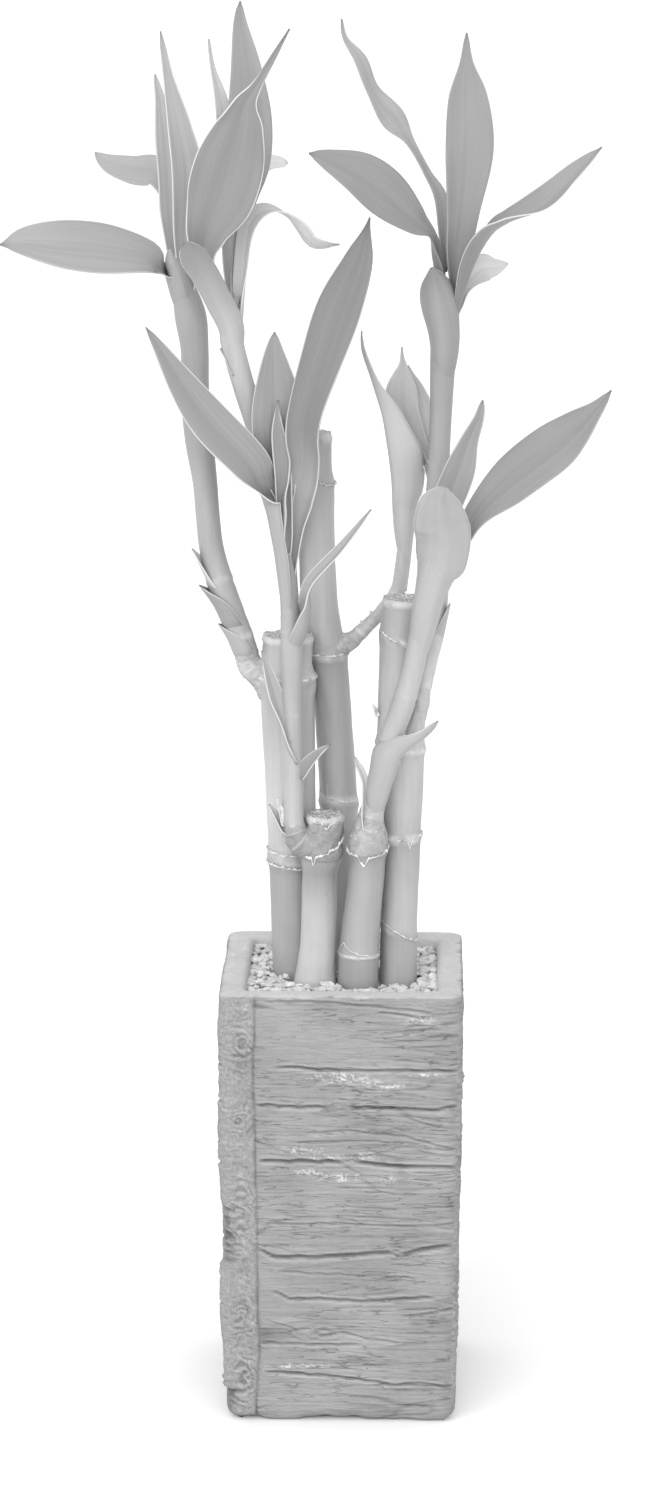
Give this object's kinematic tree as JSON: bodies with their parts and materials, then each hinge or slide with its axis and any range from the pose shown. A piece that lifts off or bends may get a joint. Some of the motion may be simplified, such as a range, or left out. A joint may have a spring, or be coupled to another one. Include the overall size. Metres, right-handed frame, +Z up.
{
  "type": "lucky bamboo in a square planter",
  "caption": "Cut bamboo-like canes with leafy shoots, standing in pale gravel in a tall square planter with a weathered plank relief.",
  "frame": {"origin": "middle of the planter's flat underside", "axes": "+Z up along the planter and the canes, -Y to the planter's front face, +X to the viewer's right"},
  "size_m": [0.1586, 0.0767, 0.3775],
  "materials": {
    "planter": "matte, rough cast grain",
    "gravel": "matte",
    "cane": "smooth living bark, slight sheen",
    "shoot": "satin living leaf"
  },
  "bodies": {
    "root": {"planter": "planter", "gravel": "gravel", "cane_1": "cane", "cane_2": "cane", "cane_3": "cane", "cane_4": "cane", "cane_5": "cane", "shoot_low_left": "shoot", "shoot_centre_left": "shoot", "shoot_right": "shoot", "shoot_front_left": "shoot", "shoot_behind": "shoot", "shoot_front_right": "shoot"}
  },
  "joints": []
}
